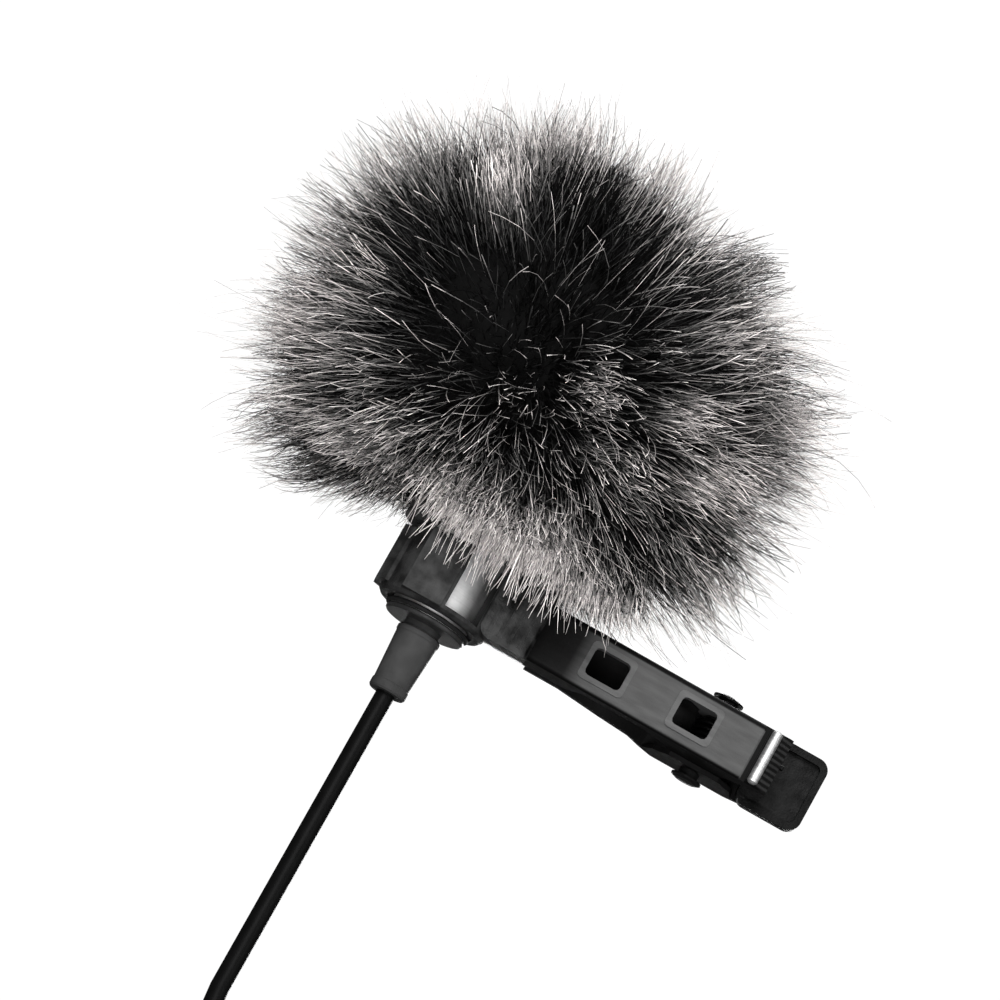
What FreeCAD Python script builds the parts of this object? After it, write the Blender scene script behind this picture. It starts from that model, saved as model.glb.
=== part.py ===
"""Lavalier microphone: a capsule with a fur windscreen, held in the ring of a sprung metal clip,
with its lead wound into a tied coil that ends in a 3.5 mm plug. Millimetres, +Z up.

The origin is the middle of the clip's grip, between the two jaws. The clip's arms run along +X,
its front plate faces -Y, and the microphone stands along Z at the clip's left end.
"""
import FreeCAD, Part
import math
import os
import Sketcher

doc = FreeCAD.newDocument("LavalierMicrophone")

# ---------------------------------------------------------------------------------------------
# Driving dimensions
# ---------------------------------------------------------------------------------------------
DIMS = {
    # Where the microphone's axis stands
    "mic_x": -12.5, "mic_y": -5.3,
    # Capsule
    "housing_radius": 4.15, "housing_wall": 0.35, "housing_low": -5.15, "housing_top": 12.6,
    "flange_radius": 4.35, "flange_thick": 0.55, "cap_spigot": 2.2, "cord_radius": 1.0,
    "neck_radius": 2.0, "neck_length": 0.65, "boot_top_radius": 2.35, "boot_low_radius": 2.0,
    "boot_length": 7.0, "boot_lip": 0.9,
    "oring_section": 0.25, "grille_thick": 1.4, "grille_hole": 0.45, "grille_pitch": 1.35,
    "mesh_thick": 0.15, "felt_thick": 0.6, "element_radius": 3.0, "element_length": 2.9,
    "holder_wall": 0.75, "board_radius": 3.4, "board_thick": 0.6, "board_low": 6.6,
    "lead_radius": 0.25, "lead_shift": 1.1, "crimp_radius": 1.5, "crimp_length": 2.0,
    # Ring and block
    "ring_low": -4.5, "ring_top": 3.0, "ring_radius": 5.9, "ring_chamfer": 0.35, "ring_back": 5.0,
    "liner_inner": 4.22, "liner_outer": 4.75, "nose_reach": 6.6, "nose_half": 2.6,
    "pad_left": 3.9, "pad_right": 0.4, "pad_front": 6.3,
    "slot_left": 0.8, "slot_right": 4.6, "slot_low": -3.75,
    "block_left": -7.7, "block_right": -2.1, "block_front": -9.0, "block_back": -0.4,
    "block_low": -4.15, "block_round": 1.2, "block_keel": -6.4, "rib_wide": 0.4,
    "rib_deep": 0.3, "rib_pitch": 1.15,
    # Front arm
    "plate_y": -4.4, "metal": 0.9, "arm_half": 3.1, "arm_end": 25.4, "arm_round": 0.6,
    "window_near": 5.6, "window_far": 15.55, "window_long": 3.95, "window_high": 3.05,
    "window_round": 0.45, "rim_wide": 0.55, "rim_proud": 0.15, "end_groove": 22.25,
    "groove_wide": 0.65, "groove_deep": 0.45,
    "roll_x": 23.6, "roll_radius": 0.55, "throat_y": -2.3,
    "tooth_pitch": 0.9, "tooth_high": 0.5, "jaw_gap": 0.1,
    # Pivot
    "pivot_x": 18.0, "pivot_y": 2.1, "ear_radius": 2.2, "pin_radius": 0.9, "pin_play": 0.05,
    "head_radius": 1.65, "head_thick": 0.45, "head_neck": 1.1, "head_gap": 0.7,
    "spacer_radius": 1.25,
    "spring_radius": 1.75, "spring_wire": 0.3, "spring_pitch": 0.7, "spring_half": 1.75,
    # Back arm
    "back_half": 3.65, "cheek_wall": 0.5, "jaw_half": 3.1, "taper_start": 10.8, "taper_end": 13.8,
    "tray_left": 23.1, "tray_right": 30.3, "tray_half": 4.05, "tray_back": 3.7,
    "tray_round": 1.3, "tray_rim": 0.75, "tray_deep": 0.7,
    # Windscreen
    "fur_radius": 27.3, "fur_shift": -2.7, "fur_z": 24.0, "fur_low": 3.6,
    "pouch_radius": 10.5, "pouch_z": 17.0, "pouch_neck": 6.6, "pouch_wall": 0.6,
    "capsule_room": 4.2, "band_radius": 7.2, "band_high": 2.6,
    # Cord
    "coil_z": -73.0, "coil_radius": 12.0, "coil_columns": 4, "coil_pitch": 2.05,
    "coil_half": 4.2, "coil_chamfer": 1.2, "tie_wide": 4.0, "tie_thick": 0.8, "tie_turn": 45,
    "tail_low": -84.0,
    # Plug
    "plug_boot": 7.0, "plug_boot_radius": 2.2, "plug_shell": 14.0, "plug_shell_radius": 3.4,
    "contact_radius": 1.75, "sleeve_length": 6.0, "ring_length": 2.5, "tip_length": 3.9,
    "insulator": 0.6,
}

sheet = doc.addObject("Spreadsheet::Sheet", "dims")
for row, (alias, number) in enumerate(DIMS.items(), start=1):
    sheet.set(f"A{row}", alias)
    sheet.set(f"B{row}", str(number))
    sheet.setAlias(f"B{row}", alias)
doc.recompute()


class Dim:
    """A size from the sheet: its number now, and the expression that keeps it bound to the sheet."""

    def __init__(self, number, text):
        self.number = number
        self.text = text

    @staticmethod
    def of(item):
        return item if isinstance(item, Dim) else Dim(float(item), str(item))

    def __add__(self, other):
        other = Dim.of(other)
        return Dim(self.number + other.number, f"({self.text} + {other.text})")

    def __sub__(self, other):
        other = Dim.of(other)
        return Dim(self.number - other.number, f"({self.text} - {other.text})")

    def __mul__(self, other):
        other = Dim.of(other)
        return Dim(self.number * other.number, f"({self.text} * {other.text})")

    def __truediv__(self, other):
        other = Dim.of(other)
        return Dim(self.number / other.number, f"({self.text} / {other.text})")

    def __neg__(self):
        return Dim(-self.number, f"(-1 * {self.text})")


class Sizes:
    """Every size on the sheet, by its alias."""

    def __getattr__(self, alias):
        return Dim(float(sheet.get(alias)), f"dims.{alias}")


d = Sizes()
ZERO = Dim.of(0)
parts = []


# ---------------------------------------------------------------------------------------------
# Modelling helpers
# ---------------------------------------------------------------------------------------------
def bind(item, prop, size):
    """Sets a property from a size and binds it to the sheet."""
    item.setExpression(prop, Dim.of(size).text)


def place(item, at):
    """Binds an object's position to three sizes."""
    for axis, size in zip("xyz", at):
        bind(item, f".Placement.Base.{axis}", size)


def new_body(label, at=None):
    """A PartDesign body that becomes one node, standing at the given place."""
    made = doc.addObject("PartDesign::Body", label)
    made.Label = label
    if at:
        place(made, at)
    parts.append(made)
    return made


MIC = (d.mic_x, d.mic_y, ZERO)
PIVOT = (d.pivot_x, d.pivot_y, ZERO)


def sketch_on(body, role, offset=None):
    """A sketch on one of the body's origin planes, moved along its normal by offset."""
    sketch = body.newObject("Sketcher::SketchObject", "outline")
    plane = [o for o in body.Origin.OriginFeatures if o.Role == role][0]
    sketch.AttachmentSupport = [(plane, "")]
    sketch.MapMode = "FlatFace"
    if offset is not None:
        bind(sketch, ".AttachmentOffset.Base.z", offset)
    return sketch


def fix_point(sketch, geometry, place_on_it, corner):
    """Ties a point of a sketch to its two sizes."""
    for kind, size in zip(("DistanceX", "DistanceY"), corner):
        size = Dim.of(size)
        rule = Sketcher.Constraint(kind, -1, 1, geometry, place_on_it, size.number)
        index = sketch.addConstraint(rule)
        sketch.setExpression(f"Constraints[{index}]", size.text)


def outline(sketch, corners):
    """A closed outline of straight edges."""
    points = [FreeCAD.Vector(Dim.of(u).number, Dim.of(v).number, 0) for u, v in corners]
    first = sketch.GeometryCount
    count = len(points)
    for i in range(count):
        sketch.addGeometry(Part.LineSegment(points[i], points[(i + 1) % count]))
    for i in range(count):
        follower = first + (i + 1) % count
        sketch.addConstraint(Sketcher.Constraint("Coincident", first + i, 2, follower, 1))
    for i, corner in enumerate(corners):
        fix_point(sketch, first + i, 1, corner)
    return sketch


def disc(sketch, radius, centre=(ZERO, ZERO)):
    """A circle."""
    middle = FreeCAD.Vector(Dim.of(centre[0]).number, Dim.of(centre[1]).number, 0)
    circle = Part.Circle(middle, FreeCAD.Vector(0, 0, 1), Dim.of(radius).number)
    geometry = sketch.addGeometry(circle)
    rule = Sketcher.Constraint("Radius", geometry, Dim.of(radius).number)
    index = sketch.addConstraint(rule)
    sketch.setExpression(f"Constraints[{index}]", Dim.of(radius).text)
    fix_point(sketch, geometry, 3, centre)
    return sketch


def rectangle(sketch, left, right, low, top):
    """An upright rectangle."""
    return outline(sketch, [(left, low), (right, low), (right, top), (left, top)])


def extrude(body, kind, sketch, length, symmetric=False, backward=False):
    """A pad or a pocket of a sketch. Its volume has to change, or it missed the solid."""
    before = body.Shape.Volume if kind == "Pocket" else 0
    feature = body.newObject(f"PartDesign::{kind}", kind.lower())
    feature.Profile = sketch
    if symmetric:
        feature.SideType = "Symmetric"
    feature.Reversed = backward
    bind(feature, "Length", length)
    doc.recompute()
    if kind == "Pocket" and body.Shape.Volume > before - 1e-6:
        raise RuntimeError(f"a pocket in {body.Label} cut nothing")
    return feature


def pad(body, sketch, length, symmetric=False, backward=False):
    return extrude(body, "Pad", sketch, length, symmetric, backward)


def pocket(body, sketch, length, symmetric=False, backward=False):
    return extrude(body, "Pocket", sketch, length, symmetric, backward)


def revolve(body, corners):
    """Turns an outline of (radius, height) corners about the body's Z axis."""
    sketch = outline(sketch_on(body, "XZ_Plane"), corners)
    feature = body.newObject("PartDesign::Revolution", "turned")
    feature.Profile = sketch
    feature.ReferenceAxis = (sketch, ["V_Axis"])
    feature.Angle = 360
    doc.recompute()
    return feature


def sleeve(label, at, inner, outer, low, top):
    """A plain tube or, with no inner radius, a rod, as a node."""
    body = new_body(label, at)
    revolve(body, [(inner, low), (outer, low), (outer, top), (inner, top)])
    return body


def round_edges(body, radius, wanted, kind="Fillet"):
    """Fillets or chamfers the edges that wanted picks by their two ends."""
    tip = body.Tip
    names = []
    for number, edge in enumerate(tip.Shape.Edges, start=1):
        if len(edge.Vertexes) == 2 and wanted(edge.Vertexes[0].Point, edge.Vertexes[1].Point):
            names.append(f"Edge{number}")
    if not names:
        raise RuntimeError(f"no edge to round in {body.Label}")
    feature = body.newObject(f"PartDesign::{kind}", kind.lower())
    feature.Base = (tip, names)
    bind(feature, "Radius" if kind == "Fillet" else "Size", radius)
    doc.recompute()
    return feature


def near(a, b):
    return abs(a - b) < 1e-4


# ---------------------------------------------------------------------------------------------
# Capsule
# ---------------------------------------------------------------------------------------------
housing_inner = d.housing_radius - d.housing_wall
flange_low = d.housing_low - d.flange_thick
boot_top = flange_low - d.neck_length
boot_foot = boot_top - d.boot_length


def make_housing():
    sleeve("housing_tube", MIC, housing_inner, d.housing_radius, d.housing_low, d.housing_top)


def make_end_cap():
    """Flange below the housing, a neck under it and a spigot above it, bored for the cord."""
    step = 0.15
    body = new_body("end_cap", MIC)
    revolve(body, [
        (d.cord_radius, boot_top), (d.neck_radius, boot_top), (d.neck_radius, flange_low),
        (d.flange_radius - step, flange_low),
        (d.flange_radius, flange_low + step), (d.flange_radius, d.housing_low - step),
        (d.flange_radius - step, d.housing_low), (housing_inner, d.housing_low),
        (housing_inner, d.housing_low + d.cap_spigot),
        (d.cord_radius, d.housing_low + d.cap_spigot),
    ])


def make_boot():
    """Tapered strain relief with a collar at its top, a shallow neck and a lip at its foot."""
    lip_top = boot_foot + d.boot_lip
    body = new_body("strain_relief", MIC)
    revolve(body, [
        (d.cord_radius, boot_foot), (d.boot_low_radius - 0.15, boot_foot),
        (d.boot_low_radius, boot_foot + 0.2), (d.boot_low_radius, lip_top),
        (d.boot_low_radius - 0.08, lip_top + 0.15),
        (d.boot_top_radius - 0.1, boot_top - 0.75), (d.boot_top_radius, boot_top - 0.6),
        (d.boot_top_radius, boot_top - 0.2), (d.boot_top_radius - 0.2, boot_top),
        (d.cord_radius, boot_top),
    ])


def make_capsule_inside():
    """What the housing holds, from the grille down to the crimp on the cable."""
    mesh_low = d.housing_top - d.mesh_thick
    felt_low = mesh_low - d.felt_thick
    element_low = felt_low - d.element_length
    holder_outer = d.element_radius + d.holder_wall
    sleeve("mesh_disc", MIC, ZERO, housing_inner, mesh_low, d.housing_top)
    sleeve("felt_disc", MIC, ZERO, housing_inner, felt_low, mesh_low)
    sleeve("electret_element", MIC, ZERO, d.element_radius, element_low, felt_low)
    sleeve("element_holder", MIC, d.element_radius, holder_outer, element_low + 0.3, felt_low - 0.3)
    board_top = d.board_low + d.board_thick
    sleeve("circuit_board", MIC, ZERO, d.board_radius, d.board_low, board_top)
    crimp_low = d.housing_low + d.cap_spigot
    crimp_top = crimp_low + d.crimp_length
    sleeve("cable_crimp", MIC, d.cord_radius, d.crimp_radius, crimp_low, crimp_top)
    sleeve("inner_cable", MIC, ZERO, d.cord_radius, boot_foot, crimp_top)
    for label, side in (("signal_lead", -1), ("ground_lead", 1)):
        at = (d.mic_x + d.lead_shift * side * 0.5, d.mic_y, ZERO)
        sleeve(label, at, ZERO, d.lead_radius, crimp_top, d.board_low)


def make_grille():
    """Round cap over the housing's top, pierced by a middle hole and two rings of holes."""
    top = d.housing_top + d.grille_thick
    body = new_body("grille_cap", MIC)
    revolve(body, [
        (ZERO, d.housing_top), (d.housing_radius, d.housing_top),
        (d.housing_radius, top - 0.5), (d.housing_radius - 0.5, top), (ZERO, top),
    ])
    holes = sketch_on(body, "XY_Plane", top)
    disc(holes, d.grille_hole)
    for ring in (1, 2):
        for turn in range(6 * ring):
            angle = 360 / (6 * ring) * turn
            reach = d.grille_pitch * ring
            centre = (reach * math.cos(math.radians(angle)), reach * math.sin(math.radians(angle)))
            disc(holes, d.grille_hole, centre)
    pocket(body, holes, d.grille_thick + 1)


def make_oring():
    ring = doc.addObject("Part::Torus", "o_ring")
    ring.Label = "o_ring"
    bind(ring, "Radius1", d.housing_radius + d.oring_section)
    bind(ring, "Radius2", d.oring_section)
    place(ring, (d.mic_x, d.mic_y, d.housing_low + d.oring_section))
    parts.append(ring)


# ---------------------------------------------------------------------------------------------
# Ring that holds the capsule, and the block that joins it to the front arm
# ---------------------------------------------------------------------------------------------
def cut_slot(body):
    """Slot in the ring's front that shows the capsule, open at the top."""
    slot = sketch_on(body, "XY_Plane", d.ring_top + 1)
    rectangle(slot, d.slot_left, d.slot_right, -d.pad_front - 1, Dim.of(-1.2))
    pocket(body, slot, d.ring_top + 1 - d.slot_low)


def make_ring():
    body = new_body("mic_ring", MIC)
    chamfer = d.ring_chamfer
    revolve(body, [
        (d.liner_outer, d.ring_low), (d.ring_radius - chamfer, d.ring_low),
        (d.ring_radius, d.ring_low + chamfer), (d.ring_radius, d.ring_top - chamfer),
        (d.ring_radius - chamfer, d.ring_top), (d.liner_outer, d.ring_top),
    ])
    tall = d.ring_top - d.ring_low
    front = outline(sketch_on(body, "XY_Plane", d.ring_low + chamfer), [
        (-d.pad_left, -d.pad_front), (d.pad_right, -d.pad_front),
        (d.pad_right, -d.liner_outer - 0.2), (-d.pad_left, -d.liner_outer + 1.6),
    ])
    pad(body, front, tall - chamfer * 2)
    nose = outline(sketch_on(body, "XY_Plane", d.ring_low + chamfer * 2), [
        (-d.nose_reach, -d.nose_half + 0.9), (-d.nose_reach + 0.9, -d.nose_half),
        (-d.liner_outer - 0.1, -d.nose_half), (-d.liner_outer - 0.1, d.nose_half),
        (-d.nose_reach + 0.9, d.nose_half), (-d.nose_reach, d.nose_half - 0.9),
    ])
    pad(body, nose, tall - chamfer * 4)
    bore = disc(sketch_on(body, "XY_Plane", d.ring_top + 1), d.liner_outer)
    pocket(body, bore, tall + 2)
    cut_slot(body)
    back = sketch_on(body, "XY_Plane", d.ring_top + 1)
    rectangle(back, Dim.of(-9), Dim.of(9), d.ring_back, Dim.of(9))
    pocket(body, back, tall + 2)
    liner = sleeve("ring_liner", MIC, d.liner_inner, d.liner_outer, d.ring_low + 0.2,
                   d.ring_top - 0.2)
    cut_slot(liner)


def make_block():
    body = new_body("ring_block")
    front = rectangle(sketch_on(body, "XY_Plane", d.block_low), d.block_left, d.block_right,
                      d.block_front, d.block_back)
    pad(body, front, d.ring_top - d.block_low)
    round_edges(body, d.block_round, lambda a, b: (
        near(a.x, b.x) and near(a.z, b.z) and near(a.x, d.block_left.number)
        and near(a.z, d.block_low.number)))
    round_edges(body, 0.35, lambda a, b: (
        near(a.x, b.x) and near(a.y, b.y) and near(a.x, d.block_right.number)
        and near(a.y, d.block_front.number)), "Chamfer")
    under = outline(sketch_on(body, "YZ_Plane", d.block_right + 1), [
        (d.block_keel, d.block_low - 1), (d.block_keel, d.block_low),
        (d.block_back + 0.1, -d.arm_half), (d.block_back + 0.1, d.block_low - 1),
    ])
    pocket(body, under, d.block_right - d.block_left + 2)
    seat = disc(sketch_on(body, "XY_Plane", d.ring_top + 1), d.ring_radius, (d.mic_x, d.mic_y))
    pocket(body, seat, d.ring_top - d.block_low + 2)
    for rib in range(4):
        left = d.block_left + 0.75 + d.rib_pitch * rib
        groove = rectangle(sketch_on(body, "XY_Plane", d.ring_top + 1), left, left + d.rib_wide,
                           d.block_front - 1, d.block_front + d.rib_deep)
        pocket(body, groove, d.ring_top - d.block_low + 0.4)


# ---------------------------------------------------------------------------------------------
# Front arm
# ---------------------------------------------------------------------------------------------
def window_corners(middle, grow):
    """Outline of a window in the plate, grown all round, each corner rounded by two short sides."""
    across = d.window_long / 2 + grow
    up = d.window_high / 2 + grow
    cut = d.window_round
    bit = cut * 0.3
    return [
        (middle - across + cut, -up), (middle + across - cut, -up),
        (middle + across - bit, -up + bit),
        (middle + across, -up + cut), (middle + across, up - cut),
        (middle + across - bit, up - bit),
        (middle + across - cut, up), (middle - across + cut, up),
        (middle - across + bit, up - bit),
        (middle - across, up - cut), (middle - across, -up + cut),
        (middle - across + bit, -up + bit),
    ]


def make_front_arm():
    body = new_body("front_arm")
    wide = d.arm_half * 2
    ear_low = d.pivot_y - 0.6
    side = outline(sketch_on(body, "XY_Plane"), [
        (d.block_right, d.plate_y), (d.arm_end - 1.4, d.plate_y),
        (d.arm_end, d.plate_y + 0.7), (d.arm_end, d.plate_y + 1.2),
        (d.pivot_x + 3.4, -d.metal), (d.pivot_x + 2.1, ear_low),
        (d.pivot_x - 2.1, ear_low), (d.pivot_x - 4.0, d.throat_y + 1.3),
        (d.pivot_x - 6.4, d.throat_y), (Dim.of(4.6), d.throat_y), (Dim.of(3.0), Dim.of(-0.35)),
        (d.block_right, Dim.of(-0.35)),
    ])
    pad(body, side, wide, symmetric=True)
    pad(body, disc(sketch_on(body, "XY_Plane"), d.ear_radius, (d.pivot_x, d.pivot_y)), wide,
        symmetric=True)
    round_edges(body, d.arm_round, lambda a, b: (
        near(a.y, b.y) and near(a.z, b.z) and near(a.y, d.plate_y.number)
        and abs(a.x - b.x) > 20))
    inner = d.plate_y + d.metal
    hollow = outline(sketch_on(body, "XY_Plane"), [
        (d.block_right - 1, inner), (d.arm_end - 1.6, inner), (d.arm_end + 1, inner + 1.2),
        (d.arm_end + 1, d.pivot_y + 4), (d.block_right - 1, d.pivot_y + 4),
    ])
    pocket(body, hollow, wide - d.metal * 2, symmetric=True)
    for middle in (d.window_near, d.window_far):
        rim = outline(sketch_on(body, "XZ_Plane", -d.plate_y), window_corners(middle, d.rim_wide))
        pad(body, rim, d.rim_proud)
        hole = outline(sketch_on(body, "XZ_Plane", -d.plate_y + 1), window_corners(middle, ZERO))
        pocket(body, hole, d.metal + 1.5)
    groove = rectangle(sketch_on(body, "XZ_Plane", -d.plate_y + 1), d.end_groove,
                       d.end_groove + d.groove_wide, -d.arm_half - 1, d.arm_half + 1)
    pocket(body, groove, d.groove_deep + 1)
    seat = disc(sketch_on(body, "XY_Plane"), d.roll_radius, (d.roll_x, d.plate_y - 0.2))
    pocket(body, seat, wide + 2, symmetric=True)
    bore = disc(sketch_on(body, "XY_Plane"), d.pin_radius, (d.pivot_x, d.pivot_y))
    pocket(body, bore, wide + 2, symmetric=True)


def make_thumb_roll():
    body = new_body("thumb_roll")
    bar = disc(sketch_on(body, "XY_Plane"), d.roll_radius, (d.roll_x, d.plate_y - 0.2))
    pad(body, bar, (d.arm_half - 0.15) * 2, symmetric=True)
    round_edges_of_rod(body, 0.2)


def round_edges_of_rod(body, size):
    """Chamfers the round rims of a rod."""
    tip = body.Tip
    names = [f"Edge{n}" for n, e in enumerate(tip.Shape.Edges, start=1)
             if e.Curve.TypeId == "Part::GeomCircle"]
    feature = body.newObject("PartDesign::Chamfer", "rims")
    feature.Base = (tip, names)
    bind(feature, "Size", size)
    doc.recompute()


def make_jaw(label, back_y, tip_y, half):
    """Toothed bar across a jaw. Its teeth run along Z, and their tips lie at tip_y."""
    left = Dim.of(-1.6)
    teeth = 4
    root_y = tip_y + (d.tooth_high if back_y.number > tip_y.number else -d.tooth_high)
    corners = [(left, back_y), (left, root_y)]
    for tooth in range(teeth):
        start = left + d.tooth_pitch * tooth
        corners.append((start + d.tooth_pitch / 2, tip_y))
        corners.append((start + d.tooth_pitch, root_y))
    corners.append((left + d.tooth_pitch * teeth, back_y))
    body = new_body(label)
    pad(body, outline(sketch_on(body, "XY_Plane"), corners), half * 2, symmetric=True)


# ---------------------------------------------------------------------------------------------
# Pivot and spring
# ---------------------------------------------------------------------------------------------
def make_pivot():
    shank = d.back_half + 0.1
    sleeve("pivot_pin", PIVOT, ZERO, d.pin_radius, -shank, shank)
    for label, side in (("pin_head_low", -1), ("pin_head_top", 1)):
        body = new_body(label, PIVOT)
        neck = shank * side
        head = (shank + d.head_gap) * side
        thick = d.head_thick * side
        revolve(body, [
            (ZERO, neck), (d.head_neck, neck), (d.head_neck, head), (d.head_radius, head),
            (d.head_radius, head + thick * 0.45), (d.head_radius * 0.72, head + thick * 0.85),
            (ZERO, head + thick),
        ])
    inner_half = d.arm_half - d.metal
    sleeve("spacer_tube", PIVOT, d.pin_radius, d.spacer_radius, -inner_half, inner_half)


def make_spring():
    """Torsion spring: turns about the pin, one leg under the plate and one on the back arm."""
    wire = d.spring_wire.number
    radius = d.spring_radius.number
    pitch = d.spring_pitch.number
    turns = int(2 * d.spring_half.number / pitch)
    low = -pitch * turns / 2
    solids = []
    for turn in range(turns + 1):
        ring = Part.makeTorus(radius, wire, FreeCAD.Vector(0, 0, low + pitch * turn))
        solids.append(ring)
    link = Part.makeCylinder(wire * 0.8, pitch * turns, FreeCAD.Vector(-radius, 0, low))
    solids.append(link)
    leg_far = d.arm_end.number - d.pivot_x.number + 0.35
    leg_y = d.plate_y.number + 2.15 - d.pivot_y.number
    start = FreeCAD.Vector(0, -radius, low)
    along = FreeCAD.Vector(leg_far, leg_y, low) - start
    solids.append(Part.makeCylinder(wire, along.Length, start, along))
    back = FreeCAD.Vector(4.2, 2.15, -low) - FreeCAD.Vector(0, radius, -low)
    solids.append(Part.makeCylinder(wire, back.Length, FreeCAD.Vector(0, radius, -low), back))
    spring = doc.addObject("Part::Feature", "torsion_spring")
    spring.Label = "torsion_spring"
    spring.Shape = solids[0].multiFuse(solids[1:])
    place(spring, PIVOT)
    parts.append(spring)


# ---------------------------------------------------------------------------------------------
# Back arm
# ---------------------------------------------------------------------------------------------
def back_plate_corners():
    """Side outline of the back arm's plate: near line from jaw to tray, then the far line back."""
    near_line = [(-1.7, 0.7), (2.4, 0.7), (7.6, 2.9), (12.5, 4.65), (22.0, 4.65), (24.3, 3.7),
                 (29.4, 3.7)]
    far_line = [(29.4, 4.6), (24.5, 4.6), (22.2, 5.55), (12.3, 5.55), (7.3, 3.85), (2.2, 1.6),
                (-1.7, 1.6)]
    return near_line + far_line


def make_back_arm():
    body = new_body("back_arm")
    wide = d.back_half * 2
    cheek = outline(sketch_on(body, "XY_Plane"), [
        (12.4, 5.2), (13.6, 1.6), (15.2, 0.2), (20.8, 0.2), (22.4, 1.8), (23.0, 4.8), (21.8, 5.2),
    ])
    pad(body, cheek, wide, symmetric=True)
    between = outline(sketch_on(body, "XY_Plane"), [
        (10, -1), (25, -1), (25, 7), (10, 7),
    ])
    pocket(body, between, wide - d.cheek_wall * 2, symmetric=True)
    pad(body, outline(sketch_on(body, "XY_Plane"), back_plate_corners()), wide, symmetric=True)
    for side in (-1, 1):
        beside_jaw = outline(sketch_on(body, "XZ_Plane", 10), [
            (-3, d.jaw_half * side), (d.taper_start, d.jaw_half * side),
            (d.taper_end, d.back_half * side), (d.taper_end, (d.back_half + 1) * side),
            (-3, (d.back_half + 1) * side),
        ])
        pocket(body, beside_jaw, Dim.of(30))
    bore = disc(sketch_on(body, "XY_Plane"), d.pin_radius + d.pin_play, (d.pivot_x, d.pivot_y))
    pocket(body, bore, wide + 2, symmetric=True)


def make_press_pad():
    """Tray that a finger presses: a rounded plate with a raised rim facing the front."""
    body = new_body("press_pad")
    front = d.pivot_y
    deep = d.tray_back - front
    face = rectangle(sketch_on(body, "XZ_Plane", -d.tray_back), d.tray_left, d.tray_right,
                     -d.tray_half, d.tray_half)
    pad(body, face, deep)
    round_edges(body, d.tray_round, lambda a, b: near(a.x, b.x) and near(a.z, b.z))
    hollow = rectangle(sketch_on(body, "XZ_Plane", -front + 1), d.tray_left + d.tray_rim,
                       d.tray_right - d.tray_rim, -d.tray_half + d.tray_rim,
                       d.tray_half - d.tray_rim)
    pocket(body, hollow, d.tray_deep + 1)
    floor_y = front.number + d.tray_deep.number
    round_edges(body, d.tray_rim * 0.8, lambda a, b: (
        near(a.x, b.x) and near(a.z, b.z)
        and near(max(a.y, b.y), floor_y) and near(min(a.y, b.y), front.number)))


# ---------------------------------------------------------------------------------------------
# Windscreen
# ---------------------------------------------------------------------------------------------
def ball(radius, at):
    made = doc.addObject("Part::Sphere", "ball")
    bind(made, "Radius", radius)
    place(made, at)
    return made


def rod(radius, low, top, at):
    made = doc.addObject("Part::Cylinder", "rod")
    bind(made, "Radius", radius)
    bind(made, "Height", top - low)
    place(made, (at[0], at[1], low))
    return made


def join(kind, shapes):
    made = doc.addObject(f"Part::{kind}", "joined")
    if kind == "Cut":
        made.Base, made.Tool = shapes
    else:
        made.Shapes = shapes
    return made


def pouch_form(shrink):
    """Ball on a neck, drawn in by shrink: the backing's outside, its inside, the foam's outside."""
    neck = rod(d.pouch_neck - shrink, d.fur_low, d.pouch_z, MIC)
    head = ball(d.pouch_radius - shrink, (d.mic_x, d.mic_y, d.pouch_z))
    return join("MultiFuse", [neck, head])


def above_hem(shape):
    """Keeps what stands above the hem."""
    below = rod(Dim.of(60), d.fur_low - 60, d.fur_low, MIC)
    return join("Cut", [shape, below])


def keep(shape, label):
    shape.Label = label
    parts.append(shape)


def make_windscreen():
    wall = d.pouch_wall
    pile = above_hem(ball(d.fur_radius, (d.mic_x + d.fur_shift, d.mic_y, d.fur_z)))
    room_for_band = rod(d.band_radius, d.fur_low - 1, d.fur_low + d.band_high, MIC)
    pile = join("Cut", [pile, pouch_form(ZERO)])
    keep(join("Cut", [pile, room_for_band]), "fur_pile")
    keep(join("Cut", [pouch_form(ZERO), pouch_form(wall)]), "fur_backing")
    room = rod(d.capsule_room, d.fur_low - 1, d.housing_top + d.grille_thick + 0.1, MIC)
    keep(join("Cut", [pouch_form(wall), room]), "foam_liner")
    sleeve("neck_band", MIC, d.pouch_neck, d.band_radius, d.fur_low, d.fur_low + d.band_high)


# ---------------------------------------------------------------------------------------------
# Cord, coil and plug
# ---------------------------------------------------------------------------------------------
def tube(label, route, radius):
    """A tube along straight runs and tangent arcs. Its volume is held to its section times length."""
    points = [FreeCAD.Vector(*p) for p in route]
    runs = [(b - a).Length for a, b in zip(points, points[1:])]
    edges = []
    here = points[0]
    for i in range(1, len(points) - 1):
        back = (points[i - 1] - points[i]).normalize()
        ahead = (points[i + 1] - points[i]).normalize()
        turn = math.pi - back.getAngle(ahead)
        reach = 0.45 * min(runs[i - 1], runs[i])
        bend = reach / math.tan(turn / 2)
        print(f"{label}: turn {math.degrees(turn):.0f} degrees, radius {bend:.1f} mm")
        start = points[i] + back * reach
        end = points[i] + ahead * reach
        inward = (back + ahead).normalize()
        middle = points[i] + inward * (bend / math.cos(turn / 2) - bend)
        edges.append(Part.LineSegment(here, start).toShape())
        edges.append(Part.Arc(start, middle, end).toShape())
        here = end
    edges.append(Part.LineSegment(here, points[-1]).toShape())
    path = Part.Wire(edges)
    heading = points[1] - points[0]
    section = Part.Wire([Part.makeCircle(radius, points[0], heading)])
    shape = path.makePipeShell([section], True, False)
    expected = math.pi * radius**2 * path.Length
    if abs(shape.Volume / expected - 1) > 0.01:
        raise RuntimeError(f"{label} has the wrong volume")
    made = doc.addObject("Part::Feature", label)
    made.Label = label
    made.Shape = shape
    parts.append(made)
    print(f"{label}: {path.Length:.1f} mm long")
    return path.Length


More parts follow.
